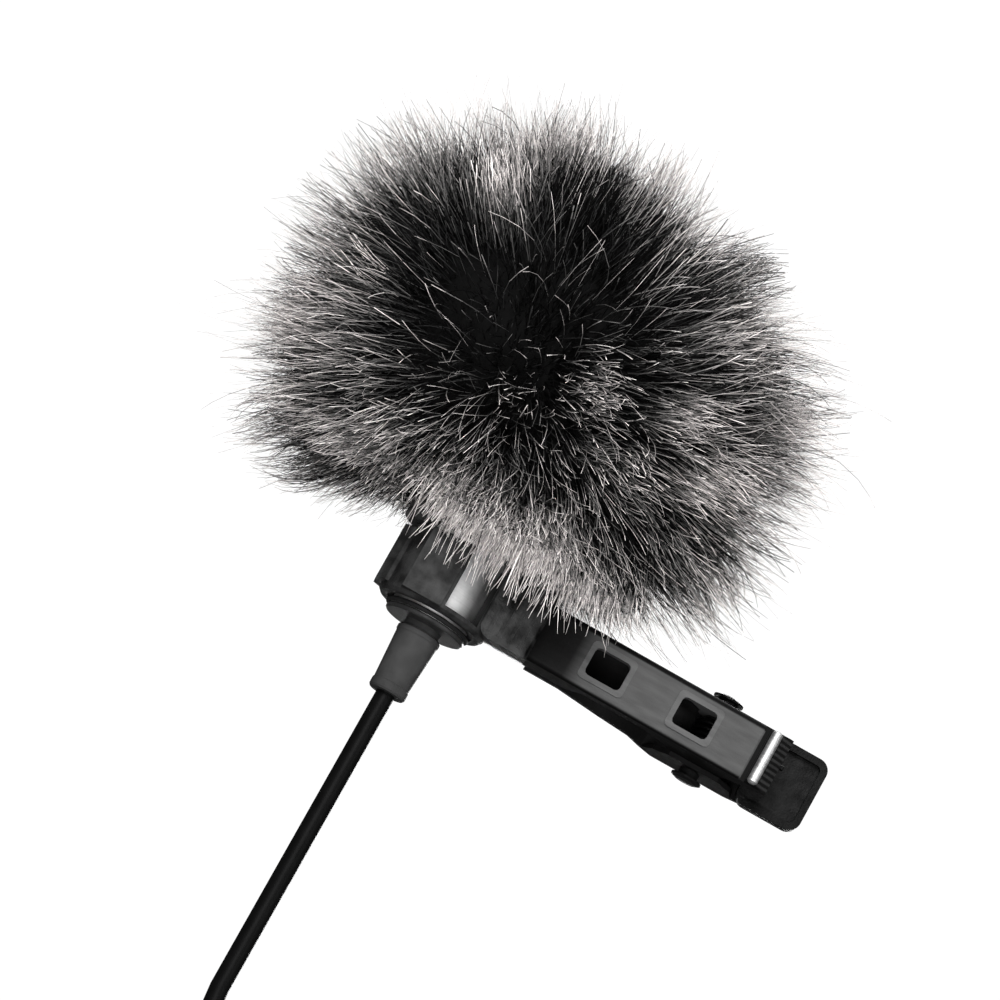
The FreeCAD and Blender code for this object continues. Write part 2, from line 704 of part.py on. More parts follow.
def make_cord():
    """Lead down from the boot, a coil of turns stacked in rows and columns, a tail to the plug."""
    x, y, z = d.mic_x.number, d.mic_y.number, d.coil_z.number
    pitch = d.coil_pitch.number
    columns = int(d.coil_columns.number)
    outer_turn = d.coil_radius.number + pitch * (columns - 1) / 2
    exit_z = boot_foot.number
    joins_at = math.radians(50)
    meets = (x + outer_turn * math.cos(joins_at), y, z + outer_turn * math.sin(joins_at))
    corner = (x, y, meets[2] + (meets[0] - x) / math.tan(joins_at))
    lead = tube("cord_lead", [(x, y, exit_z), corner, meets], d.cord_radius.number)
    front_row = y - pitch * (columns - 1)
    tail_x = x + outer_turn
    tail = tube("cord_tail", [(tail_x, front_row, z), (tail_x, front_row, d.tail_low.number)],
                d.cord_radius.number)
    middle_y = d.mic_y - d.coil_pitch * (d.coil_columns - 1) / 2
    body = new_body("cord_coil", (d.mic_x, middle_y, d.coil_z))
    inner = d.coil_radius - d.coil_half
    outer = d.coil_radius + d.coil_half
    half = d.coil_half
    cut = d.coil_chamfer
    section = outline(sketch_on(body, "XY_Plane"), [
        (inner + cut, -half), (outer - cut, -half), (outer, -half + cut), (outer, half - cut),
        (outer - cut, half), (inner + cut, half), (inner, half - cut), (inner, -half + cut),
    ])
    wound = body.newObject("PartDesign::Revolution", "wound")
    wound.Profile = section
    wound.ReferenceAxis = (section, ["V_Axis"])
    wound.Angle = 360
    doc.recompute()
    turns = columns**2 - 1 + joins_at / (2 * math.pi)
    wire = 2 * math.pi * d.coil_radius.number * turns
    print(f"cord: {(lead + wire + tail) / 1000:.3f} m in {turns:.2f} turns")


def make_tie():
    """Band round the turns where the lead joins them."""
    middle_y = d.mic_y - d.coil_pitch * (d.coil_columns - 1) / 2
    inner = d.coil_half + 0.05
    outer = inner + d.tie_thick
    body = new_body("cord_tie", (d.mic_x, middle_y, d.coil_z))
    centre = d.coil_radius - 0.15
    band = rectangle(sketch_on(body, "XY_Plane"), centre - outer - 0.15, centre + outer + 0.15,
                     -outer, outer)
    pad(body, band, d.tie_wide, symmetric=True)
    round_edges(body, 1.0, lambda a, b: near(a.x, b.x) and near(a.y, b.y))
    inside = rectangle(sketch_on(body, "XY_Plane"), centre - inner - 0.15,
                       centre + inner + 0.15, -inner, inner)
    pocket(body, inside, d.tie_wide + 1, symmetric=True)
    turned = FreeCAD.Rotation(FreeCAD.Vector(0, -1, 0), d.tie_turn.number)
    body.Placement = FreeCAD.Placement(body.Placement.Base, turned)
    bind(body, ".Placement.Rotation.Angle", d.tie_turn)
    doc.recompute()


def make_plug():
    """3.5 mm plug hanging from the cord's end: boot, shell, then three contacts."""
    at = (d.mic_x + d.coil_radius + d.coil_pitch * (d.coil_columns - 1) / 2,
          d.mic_y - d.coil_pitch * (d.coil_columns - 1), ZERO)
    boot_low = d.tail_low - d.plug_boot
    shell_low = boot_low - d.plug_shell
    boot = new_body("plug_boot", at)
    revolve(boot, [
        (ZERO, d.tail_low), (d.cord_radius + 0.5, d.tail_low),
        (d.plug_boot_radius, boot_low), (ZERO, boot_low),
    ])
    shell = new_body("plug_shell", at)
    radius = d.plug_shell_radius
    revolve(shell, [
        (ZERO, boot_low), (radius - 0.8, boot_low), (radius, boot_low - 0.8),
        (radius, shell_low + 0.5), (radius - 0.5, shell_low), (ZERO, shell_low),
    ])
    contact = d.contact_radius
    z = shell_low
    for label, length in (("plug_sleeve", d.sleeve_length), ("insulator_near", d.insulator),
                          ("plug_ring", d.ring_length), ("insulator_far", d.insulator)):
        sleeve(label, at, ZERO, contact, z - length, z)
        z = z - length
    tip = new_body("plug_tip", at)
    revolve(tip, [
        (ZERO, z), (contact, z), (contact, z - 0.7), (contact - 0.55, z - 1.3),
        (contact - 0.05, z - 2.3), (contact - 0.35, z - 3.1), (contact - 1.2, z - d.tip_length),
        (ZERO, z - d.tip_length),
    ])


# ---------------------------------------------------------------------------------------------
# The whole model
# ---------------------------------------------------------------------------------------------
make_housing()
make_end_cap()
make_boot()
make_capsule_inside()
make_grille()
make_oring()
make_ring()
make_block()
make_front_arm()
make_thumb_roll()
make_jaw("front_jaw", Dim.of(-1.9), -d.jaw_gap, d.arm_half - d.metal)
make_pivot()
make_spring()
make_back_arm()
make_press_pad()
make_jaw("back_jaw", Dim.of(0.7), d.jaw_gap, d.jaw_half - 0.3)
make_windscreen()
make_cord()
make_tie()
make_plug()
doc.recompute()

for item in doc.Objects:
    if "Invalid" in item.State or "Error" in item.State:
        raise RuntimeError(f"{item.Label} failed: {item.State}")
os.makedirs("parts", exist_ok=True)
for part in parts:
    if part.Shape.isNull() or not part.Shape.isValid():
        raise RuntimeError(f"{part.Label} has no valid shape")
    part.Shape.exportStep(f"parts/{part.Label}.step")
    solids = len(part.Shape.Solids)
    if solids != 1:
        print(f"{part.Label}: {solids} solids")
print(f"{len(parts)} nodes written")
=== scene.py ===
"""Lavalier microphone with a fur windscreen, in metres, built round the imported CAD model."""
import math

import bmesh
import bpy
import numpy as np
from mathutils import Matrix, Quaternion, Vector


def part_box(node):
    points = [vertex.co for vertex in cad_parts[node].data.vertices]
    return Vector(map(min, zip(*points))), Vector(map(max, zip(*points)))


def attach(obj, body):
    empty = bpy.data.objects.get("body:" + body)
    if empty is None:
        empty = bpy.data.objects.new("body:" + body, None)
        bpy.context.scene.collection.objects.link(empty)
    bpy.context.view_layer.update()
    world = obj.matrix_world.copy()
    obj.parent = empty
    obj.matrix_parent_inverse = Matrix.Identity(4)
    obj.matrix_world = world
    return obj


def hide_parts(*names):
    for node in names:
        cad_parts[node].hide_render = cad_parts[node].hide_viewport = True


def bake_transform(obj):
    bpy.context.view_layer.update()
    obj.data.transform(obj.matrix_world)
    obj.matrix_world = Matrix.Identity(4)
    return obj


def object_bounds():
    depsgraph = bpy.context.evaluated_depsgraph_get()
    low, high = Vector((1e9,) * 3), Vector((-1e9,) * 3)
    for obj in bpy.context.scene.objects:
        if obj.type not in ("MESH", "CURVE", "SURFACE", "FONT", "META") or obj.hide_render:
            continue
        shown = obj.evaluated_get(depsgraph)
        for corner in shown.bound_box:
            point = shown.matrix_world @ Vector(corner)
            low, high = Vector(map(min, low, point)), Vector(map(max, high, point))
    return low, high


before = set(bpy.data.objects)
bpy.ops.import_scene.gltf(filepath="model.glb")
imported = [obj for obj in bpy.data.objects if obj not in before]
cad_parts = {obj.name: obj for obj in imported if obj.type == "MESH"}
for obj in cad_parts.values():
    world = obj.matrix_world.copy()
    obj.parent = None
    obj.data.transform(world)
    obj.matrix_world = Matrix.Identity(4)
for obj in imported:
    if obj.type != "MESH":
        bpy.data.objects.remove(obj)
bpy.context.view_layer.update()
MM = 0.001
SEED = 61
rng = np.random.default_rng(SEED)


# ---------------------------------------------------------------------------------------------
# Places, read from the CAD nodes
# ---------------------------------------------------------------------------------------------
def middle(node):
    low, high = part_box(node)
    return (low + high) / 2


mic = middle("housing_tube")
mic_x, mic_y = mic.x, mic.y
boot_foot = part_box("strain_relief")[0].z
ring_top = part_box("mic_ring")[1].z
coil = middle("cord_coil")
pouch_low, pouch_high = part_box("fur_backing")
pile_low, pile_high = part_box("fur_pile")
pouch_radius = (pouch_high.x - pouch_low.x) / 2
pouch_centre = np.array([mic_x, mic_y, pouch_high.z - pouch_radius])
pile_radius = (pile_high.y - pile_low.y) / 2
pile_centre = np.array([(pile_low.x + pile_high.x) / 2, mic_y, pile_high.z - pile_radius])
RIM_PROUD = 0.15 * MM
PLATE_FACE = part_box("front_arm")[0].y + RIM_PROUD
ROLL_X = middle("thumb_roll").x


# ---------------------------------------------------------------------------------------------
# Camera
# ---------------------------------------------------------------------------------------------
VIEW_ELEVATION = math.radians(-12)
VIEW_ROLL = math.radians(29.5)
VIEW_WIDTH = 100 * MM
VIEW_DISTANCE = 640 * MM
SENSOR = 36
VIEW_MIDDLE = (mic_x + 0.4 * MM, mic_y, 9.44 * MM)

view_target = Vector(VIEW_MIDDLE)
back = Vector((0, -math.cos(VIEW_ELEVATION), math.sin(VIEW_ELEVATION)))
camera_data = bpy.data.cameras.new("camera")
camera_data.sensor_width = SENSOR
camera_data.lens = SENSOR * VIEW_DISTANCE / VIEW_WIDTH
camera = bpy.data.objects.new("camera", camera_data)
bpy.context.collection.objects.link(camera)
camera.location = view_target + back * VIEW_DISTANCE
camera.rotation_mode = "QUATERNION"
aim = (-back).to_track_quat("-Z", "Y")
camera.rotation_quaternion = aim @ Quaternion((0, 0, 1), VIEW_ROLL)
bpy.context.scene.camera = camera


# ---------------------------------------------------------------------------------------------
# Materials
# ---------------------------------------------------------------------------------------------
COLOR_A, COLOR_B, COLOR_MIXED = 6, 7, 2  # a mix node's colour sockets
PITCHES = 6.3  # a wave texture of scale 1 / (PITCHES * pitch) has one band every two pitches


def shade(value, tint=(1.0, 1.0, 1.0)):
    return (value * tint[0], value * tint[1], value * tint[2], 1.0)


class Maker:
    """A node material whose Principled shader takes its patterns from object coordinates."""

    def __init__(self, name, color, roughness, metallic=0.0, specular=0.5):
        self.material = bpy.data.materials.new(name)
        self.material.use_nodes = True
        self.tree = self.material.node_tree
        self.shader = self.tree.nodes["Principled BSDF"]
        self.shader.inputs["Base Color"].default_value = color
        self.shader.inputs["Roughness"].default_value = roughness
        self.shader.inputs["Metallic"].default_value = metallic
        self.shader.inputs["Specular IOR Level"].default_value = specular
        self.places = self.tree.nodes.new("ShaderNodeTexCoord").outputs["Object"]

    def node(self, kind, **inputs):
        made = self.tree.nodes.new(kind)
        for key, value in inputs.items():
            made.inputs[key.replace("_", " ")].default_value = value
        return made

    def join(self, start, end):
        self.tree.links.new(start, end)

    def stretched(self, scale):
        """Object coordinates stretched along some axes."""
        mapping = self.node("ShaderNodeMapping", Scale=scale)
        self.join(self.places, mapping.inputs["Vector"])
        return mapping.outputs["Vector"]

    def noise(self, scale, detail=3.0, stretch=None):
        made = self.node("ShaderNodeTexNoise", Scale=scale, Detail=detail)
        self.join(self.stretched(stretch) if stretch else self.places, made.inputs["Vector"])
        return made.outputs["Fac"]

    def wave(self, scale, axis="Z", distortion=0.0):
        made = self.node("ShaderNodeTexWave", Scale=scale, Distortion=distortion)
        made.bands_direction = axis
        self.join(self.places, made.inputs["Vector"])
        return made.outputs["Fac"]

    def ramp(self, source, stops):
        made = self.tree.nodes.new("ShaderNodeValToRGB")
        band = made.color_ramp
        while len(band.elements) < len(stops):
            band.elements.new(0.5)
        for element, (position, color) in zip(band.elements, stops):
            element.position = position
            element.color = color
        self.join(source, made.inputs["Fac"])
        return made.outputs["Color"]

    def between(self, axis, start, end):
        """0 at one place along an axis and 1 at another."""
        split = self.tree.nodes.new("ShaderNodeSeparateXYZ")
        self.join(self.places, split.inputs[0])
        made = self.node("ShaderNodeMapRange", From_Min=start, From_Max=end)
        made.interpolation_type = "SMOOTHSTEP"
        self.join(split.outputs[axis], made.inputs["Value"])
        return made.outputs["Result"]

    def mix(self, factor, first, second, blend="MIX"):
        """Two colours mixed by a pattern, or wholly where there is none."""
        made = self.tree.nodes.new("ShaderNodeMix")
        made.data_type = "RGBA"
        made.blend_type = blend
        made.inputs["Factor"].default_value = 1.0
        if factor is not None:
            self.join(factor, made.inputs["Factor"])
        for socket, color in ((made.inputs[COLOR_A], first), (made.inputs[COLOR_B], second)):
            if isinstance(color, tuple):
                socket.default_value = color
            else:
                self.join(color, socket)
        return made.outputs[COLOR_MIXED]

    def color_from(self, source, stops):
        self.join(self.ramp(source, stops), self.shader.inputs["Base Color"])

    def rough_from(self, source, low, high):
        made = self.node("ShaderNodeMapRange", To_Min=low, To_Max=high)
        self.join(source, made.inputs["Value"])
        self.join(made.outputs["Result"], self.shader.inputs["Roughness"])

    def bump_from(self, source, distance):
        made = self.node("ShaderNodeBump", Strength=1.0, Distance=distance)
        self.join(source, made.inputs["Height"])
        self.join(made.outputs["Normal"], self.shader.inputs["Normal"])


def mottled(made, scale, value, mottle):
    """A tone in patches, each darker or paler than value by at most the share mottle."""
    return made.ramp(made.noise(scale, 5), [(0.35, shade(value * (1 - mottle))),
                                            (0.65, shade(value * (1 + mottle)))])


def coated_metal(name, value, rough, grain=0.02, mottle=0.25, face=None):
    """Dark coat on metal: satin, mottled in patches, with a fine grain of grain mm.

    face is a place along Y and the coat's tone behind it."""
    made = Maker(name, shade(value), rough, metallic=0.1, specular=0.05)
    tone = mottled(made, 520, value, mottle)
    if face is not None:
        at, face_value = face
        tone = made.mix(made.between("Y", at - 0.1 * MM, at), tone,
                        mottled(made, 800, face_value, mottle))
    made.join(tone, made.shader.inputs["Base Color"])
    made.rough_from(made.noise(1100, 5), rough * 0.8, rough * 1.25)
    made.bump_from(made.noise(4200, 4), grain * MM)
    return made.material


def arm_metal(name, dark, pale, rim_highlight):
    """The front arm's coat, with painted light: a painted shadow of the block and the fur beside
    the block, paler outwards, and painted shade at its sides and in the groove before the roll.

    The windows' raised rims carry a painted highlight in the rim tone, and the wall past the roll
    is hatched."""
    made = Maker(name, shade(pale), 0.5, metallic=0.1, specular=0.04)
    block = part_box("ring_block")[1].x
    # painted shadow of the block and the fur on the plate: darkest beside the block, paler
    # outwards
    outwards = made.between("X", block + 1.0 * MM, block + 6.5 * MM)
    tone = made.ramp(outwards, [(0.0, shade(dark)), (0.55, shade(dark * 2.2)), (1.0, shade(pale))])
    # painted highlight: the windows' raised rims are lighter, in the rim tone
    coat_with_painted_light = made.mix(made.between("Y", PLATE_FACE - 0.02 * MM, PLATE_FACE - 0.12 * MM), tone,
                      shade(rim_highlight))
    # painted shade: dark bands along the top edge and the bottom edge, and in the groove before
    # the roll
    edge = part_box("front_arm")[1].z
    side = made.between("Z", edge - 0.7 * MM, edge - 0.5 * MM)
    low_edge_shade = made.between("Z", -edge + 0.35 * MM, -edge + 0.1 * MM)
    groove_shade = made.between("X", ROLL_X - 1.25 * MM, ROLL_X - 1.15 * MM)
    for place in (side, low_edge_shade, groove_shade):
        coat_with_painted_light = made.mix(place, coat_with_painted_light, shade(dark))
    teeth = made.ramp(made.wave(1 / (0.3 * MM) / PITCHES, "Z", 1.5),
                      [(0.3, shade(dark)), (0.8, shade(pale * 0.3))])
    coat_with_painted_light = made.mix(made.between("X", ROLL_X + 0.45 * MM, ROLL_X + 0.55 * MM), coat_with_painted_light, teeth)
    grain = made.noise(700, 6, stretch=(0.35, 1, 2.2))
    spots = made.ramp(grain, [(0.35, shade(0.86)), (0.65, shade(1.14))])
    made.join(made.mix(None, coat_with_painted_light, spots, "MULTIPLY"), made.shader.inputs["Base Color"])
    made.rough_from(made.noise(900, 5), 0.44, 0.62)
    made.bump_from(made.noise(5200, 3), 0.02 * MM)
    return made.material


def turned_metal(name, value, rough, worn=0.18):
    """Turned metal with fine rings about Z, and patches darker by at most the share worn."""
    made = Maker(name, shade(value), rough, metallic=1.0)
    rings = made.noise(600, 3, stretch=(0.2, 0.2, 14))
    patches = made.ramp(made.noise(450, 5), [(0.4, shade(1 - worn)), (0.6, shade(1.0))])
    turned = made.ramp(rings, [(0.3, shade(value * 0.82)), (0.7, shade(value))])
    made.join(made.mix(None, turned, patches, "MULTIPLY"), made.shader.inputs["Base Color"])
    made.rough_from(rings, rough * 0.7, rough * 1.4)
    made.bump_from(rings, 0.01 * MM)
    return made.material


def rubber(name, value, rough):
    """Moulded rubber with a fine skin."""
    made = Maker(name, shade(value), rough, specular=0.04)
    made.color_from(made.noise(500, 4), [(0.25, shade(value * 0.75)), (0.75, shade(value * 1.3))])
    made.rough_from(made.noise(1400, 4), rough * 0.85, rough * 1.2)
    made.bump_from(made.noise(6500, 2), 0.012 * MM)
    return made.material


def woven(name, value, pitch):
    """Small crossed ribs, for knit, webbing and wire mesh."""
    made = Maker(name, shade(value), 0.85, specular=0.2)
    crossed = made.tree.nodes.new("ShaderNodeMath")
    crossed.operation = "MULTIPLY"
    for socket, axis in zip(crossed.inputs, "ZX"):
        made.join(made.wave(1 / pitch / PITCHES, axis), socket)
    ribs = crossed.outputs[0]
    made.color_from(ribs, [(0.0, shade(value * 0.5)), (0.6, shade(value * 1.5))])
    made.bump_from(ribs, 0.08 * MM)
    return made.material


def foam(name, value):
    """Open cells, for foam and felt."""
    made = Maker(name, shade(value), 0.95, specular=0.1)
    cells = made.node("ShaderNodeTexVoronoi", Scale=1800)
    made.join(made.places, cells.inputs["Vector"])
    made.color_from(cells.outputs["Distance"], [(0.1, shade(value * 0.4)), (0.6, shade(value))])
    made.bump_from(cells.outputs["Distance"], 0.15 * MM)
    return made.material


def gold(name):
    made = Maker(name, shade(0.75, (1.0, 0.74, 0.36)), 0.22, metallic=1.0)
    made.rough_from(made.noise(900, 4), 0.16, 0.3)
    made.bump_from(made.noise(4000, 2), 0.004 * MM)
    return made.material


def board_green(name):
    made = Maker(name, shade(0.1, (0.2, 1.0, 0.45)), 0.4)
    made.color_from(made.noise(1500, 2), [(0.4, shade(0.08, (0.2, 1.0, 0.4))),
                                          (0.6, shade(0.16, (0.3, 1.0, 0.5)))])
    return made.material


def plain_gloss(name, color):
    made = Maker(name, color, 0.35)
    made.rough_from(made.noise(1200, 3), 0.28, 0.45)
    return made.material


CLIP = arm_metal("clip_coat", 0.0025, 0.048, 0.062)
BACK = coated_metal("back_coat", 0.0035, 0.5)
PRESS = coated_metal("press_coat", 0.002, 0.45, grain=0.06, mottle=0.7,
                     face=(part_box("press_pad")[0].y + 0.4 * MM, 0.0035))
RING = coated_metal("ring_coat", 0.02, 0.5, grain=0.08, mottle=0.6)
BLOCK = coated_metal("block_coat", 0.013, 0.4, grain=0.1, mottle=0.95)
JAW = coated_metal("jaw_coat", 0.03, 0.45)
PIN = coated_metal("pin_coat", 0.004, 0.4)
CAP = coated_metal("cap_coat", 0.02, 0.3)
PLUG = coated_metal("plug_coat", 0.03, 0.38)
BRIGHT = turned_metal("bright_metal", 0.55, 0.5, worn=0.25)
ROLL = turned_metal("roll_metal", 0.55, 0.5)
STEEL = turned_metal("spring_steel", 0.01, 0.5)
BOOT = rubber("boot_rubber", 0.027, 0.55)
SOFT_RUBBER = rubber("soft_rubber", 0.01, 0.6)
JACKET = rubber("cord_jacket", 0.0022, 0.42)
INSULATOR = rubber("insulator", 0.015, 0.3)
KNIT = woven("knit", 0.02, 0.5 * MM)
ELASTIC = woven("elastic", 0.025, 0.4 * MM)
STRAP = woven("strap", 0.02, 0.35 * MM)
MESH = woven("wire_mesh", 0.3, 0.15 * MM)
FELT = foam("felt", 0.05)
FOAM = foam("foam", 0.04)
GOLD = gold("gold_plate")
BOARD = board_green("circuit_board")
LEAD = plain_gloss("lead_insulation", shade(0.45, (1.0, 0.12, 0.08)))

NODE_MATERIALS = {
    "front_arm": CLIP, "back_arm": BACK, "press_pad": PRESS, "thumb_roll": ROLL,
    "mic_ring": RING, "ring_block": BLOCK, "ring_liner": SOFT_RUBBER, "front_jaw": JAW,
    "back_jaw": JAW, "pivot_pin": PIN, "pin_head_low": PIN, "pin_head_top": PIN,
    "spacer_tube": PIN,
    "housing_tube": BRIGHT, "grille_cap": BRIGHT, "mesh_disc": MESH, "felt_disc": FELT,
    "electret_element": BRIGHT, "element_holder": SOFT_RUBBER, "circuit_board": BOARD,
    "cable_crimp": STEEL, "inner_cable": JACKET, "signal_lead": LEAD, "ground_lead": LEAD,
    "end_cap": CAP, "o_ring": SOFT_RUBBER, "strain_relief": BOOT,
    "foam_liner": FOAM, "fur_backing": KNIT, "neck_band": ELASTIC,
    "cord_tie": STRAP, "plug_boot": BOOT, "plug_shell": PLUG, "plug_sleeve": GOLD,
    "insulator_near": INSULATOR, "plug_ring": GOLD, "insulator_far": INSULATOR,
    "plug_tip": GOLD,
}
for node_name, finish in NODE_MATERIALS.items():
    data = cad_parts[node_name].data
    data.materials.clear()
    data.materials.append(finish)


# ---------------------------------------------------------------------------------------------
# Cord: straight down from the boot, into the coil, and out to the plug
# ---------------------------------------------------------------------------------------------
CORD = 2.0 * MM
COIL_PITCH = 2.05 * MM
COIL_COLUMNS = 4
COIL_RADIUS = 12.0 * MM
COIL_TURNS = COIL_COLUMNS**2
JOINS_AT = math.radians(50)
POINTS_A_TURN = 20
STEPS_OUT_AT = 0.85  # the part of a turn after which the cord moves over to the next turn


def coil_slot(number):
    """(radius, shift towards the front) of a turn: rows of columns, wound out and back."""
    row, step = divmod(number, COIL_COLUMNS)
    column = COIL_COLUMNS - 1 - step if row % 2 == 0 else step
    radius = COIL_RADIUS + COIL_PITCH * (column - (COIL_COLUMNS - 1) / 2)
    return radius, COIL_PITCH * row


def coil_route():
    """The wound turns, clockwise from where the lead joins to the right-hand side."""
    turns = COIL_TURNS - 1 + JOINS_AT / math.tau
    points = []
    for i in range(int(turns * POINTS_A_TURN) + 1):
        turn = i / POINTS_A_TURN
        whole = int(turn)
        shift = max(0.0, (turn - whole - STEPS_OUT_AT) / (1 - STEPS_OUT_AT))
        here = coil_slot(whole)
        after = coil_slot(min(whole + 1, COIL_TURNS - 1))
        radius = here[0] + (after[0] - here[0]) * shift
        forward = here[1] + (after[1] - here[1]) * shift
        angle = JOINS_AT - turn * math.tau
        points.append((coil.x + radius * math.cos(angle), mic_y - forward,
                       coil.z + radius * math.sin(angle)))
    return points


def cord_route():
    """Points of the cord, from the boot by way of the coil to the plug."""
    outer = coil_slot(0)[0]
    meets = Vector((coil.x + outer * math.cos(JOINS_AT), mic_y,
                    coil.z + outer * math.sin(JOINS_AT)))
    corner = Vector((mic_x, mic_y, meets.z + (meets.x - mic_x) / math.tan(JOINS_AT)))
    above = corner + Vector((0, 0, (meets - corner).length))
    lead = [(mic_x, mic_y, boot_foot), tuple(above), tuple(corner)]
    tail_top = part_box("plug_boot")[1].z
    tail_x = coil.x + outer
    tail_y = mic_y - coil_slot(COIL_TURNS - 1)[1]
    tail = [(tail_x, tail_y, coil.z - 3 * MM), (tail_x, tail_y, (coil.z + tail_top) / 2),
            (tail_x, tail_y, tail_top)]
    return lead + coil_route() + tail


def round_curve(name, points, radius, sides):
    """A smooth curve along points, round and closed at both ends, with its spline."""
    data = bpy.data.curves.new(name, "CURVE")
    data.dimensions = "3D"
    spline = data.splines.new("NURBS")
    spline.points.add(len(points) - 1)
    for point, place in zip(spline.points, points):
        point.co = (*place, 1)
    spline.order_u = 3
    spline.use_endpoint_u = True
    data.bevel_depth = radius
    data.bevel_resolution = sides
    data.use_fill_caps = True
    return data, spline


def make_cord():
    data, spline = round_curve("cord", cord_route(), CORD / 2, 5)
    spline.resolution_u = 4
    data.materials.append(JACKET)
    cord = bpy.data.objects.new("cord", data)
    bpy.context.collection.objects.link(cord)
    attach(cord, "microphone")
    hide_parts("cord_lead", "cord_coil", "cord_tail")


make_cord()


# ---------------------------------------------------------------------------------------------
# Torsion spring: a wound wire with its back leg, and a front leg on the front arm
# ---------------------------------------------------------------------------------------------
pivot = middle("pivot_pin")
SPRING_RADIUS = 1.75 * MM
SPRING_WIRE = 0.3 * MM
SPRING_TURNS = 5.5
SPRING_HALF = 1.75 * MM
SPRING_STEPS = 16
# Ends of the legs: x and y from the pivot, and z, in mm
BACK_LEG_END = (4.2, 2.15)
FRONT_LEG = [(-0.6, -1.7, -1.75), (0.8, -1.95, -1.75), (5.2, -3.4, -1.75), (5.6, -3.55, -1.75),
             (6.2, -3.75, -1.15), (6.4, -3.95, -0.2), (6.7, -4.1, 0.35)]
FRONT_LEG_END = (-4.35, 0.4)


def wire(name, points):
    """A piece of the spring: round wire along points, as a mesh."""
    data, _ = round_curve(name, points, SPRING_WIRE, 4)
    drawn = bpy.data.objects.new(name, data)
    mesh = bpy.data.meshes.new_from_object(drawn)
    bpy.data.objects.remove(drawn)
    mesh.shade_smooth()
    mesh.materials.append(STEEL)
    made = bpy.data.objects.new(name, mesh)
    bpy.context.collection.objects.link(made)
    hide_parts("torsion_spring")
    return made


def make_spring():
    """The coil with its back leg, and the front arm's leg."""
    points = []
    steps = int(SPRING_TURNS * SPRING_STEPS)
    for i in range(steps + 1):
        angle = -math.pi / 2 + math.tau * i / SPRING_STEPS
        points.append((pivot.x + SPRING_RADIUS * math.cos(angle),
                       pivot.y + SPRING_RADIUS * math.sin(angle),
                       -SPRING_HALF + 2 * SPRING_HALF * i / steps))
    leg_x, leg_y = BACK_LEG_END
    points.append((pivot.x + leg_x * MM, pivot.y + leg_y * MM, SPRING_HALF))
    wound = wire("spring_coil", points)
    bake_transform(wound)
    end_y, end_z = FRONT_LEG_END
    front = [(pivot.x + x * MM, pivot.y + y * MM, z * MM) for x, y, z in FRONT_LEG]
    front.append((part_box("torsion_spring")[1].x, pivot.y + end_y * MM, end_z * MM))
    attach(wire("spring_leg", front), "clip_front")


make_spring()


# ---------------------------------------------------------------------------------------------
# Fur: tapered strands rooted on the backing, gathered into tufts
# ---------------------------------------------------------------------------------------------
FUR_SHADES = [
    ("fur_root", shade(0.004)),
    ("fur_dark", shade(0.008)),
    ("fur_low", shade(0.022)),
    ("fur_mid", shade(0.055, (1.0, 0.98, 0.96))),
    ("fur_grey", shade(0.14, (1.0, 0.97, 0.95))),
    ("fur_pale", shade(0.3, (1.0, 0.94, 0.92))),
    ("fur_light", shade(0.56, (1.0, 0.93, 0.905))),
    ("fur_white", shade(0.9, (1.0, 0.945, 0.925))),
]
WHITEST = len(FUR_SHADES) - 1
ALONG = np.array([0.0, 0.3, 0.52, 0.68, 0.81, 0.92, 1.0])  # places of a strand's rings
RINGS = len(ALONG)
SIDES = 3
SECTORS = 16
heart = np.array([mic_x - 3.7 * MM, mic_y, 22 * MM])  # the pile's strands point away from it


def fur_material(name, color):
    """Matt at the dark roots, with a little gloss on the pale hair."""
    return Maker(name, color, 0.65, specular=0.2 * color[0]).material


FUR = [fur_material(name, color) for name, color in FUR_SHADES]


def unit(v):
    return v / np.maximum(np.linalg.norm(v, axis=-1, keepdims=True), 1e-12)


def spread_directions(count):
    """Directions spread evenly over a sphere."""
    i = np.arange(count) + 0.5
    up = 1 - 2 * i / count
    turn = np.pi * (1 + 5**0.5) * i
    flat = np.sqrt(1 - up**2)
    return np.stack([flat * np.cos(turn), flat * np.sin(turn), up], axis=1)


def lobe(directions, toward, sharp):
    """Near 1 along one direction, and 0 away from it."""
    return np.exp(-sharp * (1 - directions @ unit(np.array(toward, float))))


# Where the pile is longer or shorter than a ball: (towards, sharpness, share of its radius)
PILE_LOBES = [
    ((1.0, -0.1, 0.0), 8, 0.17),
    ((0.9, -0.1, 0.42), 16, 0.13),
    ((0.95, 0.0, -0.65), 14, 0.21),
    ((-1.0, -0.1, -0.1), 4, 0.1),
    ((-0.1, 0.0, 1.0), 8, -0.05),
    ((-0.72, 0.05, -0.69), 14, 0.22),
    ((-0.22, 0.0, -1.0), 12, -0.25),
    ((0.6, 0.0, 0.8), 4, -0.14),
]


def pile_reach(directions):
    """Length of the pile from its middle in each direction."""
    reach = np.ones(len(directions))
    for toward, sharp, share in PILE_LOBES:
        reach += share * lobe(directions, toward, sharp)
    return reach * pile_radius


def strand_paths(roots, tips, lean, wobble):
    """Root-to-tip paths: each leaves its root outwards, bends over, and wavers a little."""
    count = len(tips)
    span = np.linalg.norm(tips - roots, axis=1, keepdims=True)
    bends = (roots + tips) / 2 + lean * span
    t = ALONG[None, :, None]
    paths = ((1 - t) ** 2 * roots[:, None] + 2 * t * (1 - t) * bends[:, None]
             + t**2 * tips[:, None])
    side = unit(np.cross(tips - roots, rng.normal(size=(count, 3))))[:, None]
    phase = rng.uniform(0, math.tau, (count, 1, 1))
    return paths + side * np.sin(phase + t * 4.5) * t * wobble * span[:, None]


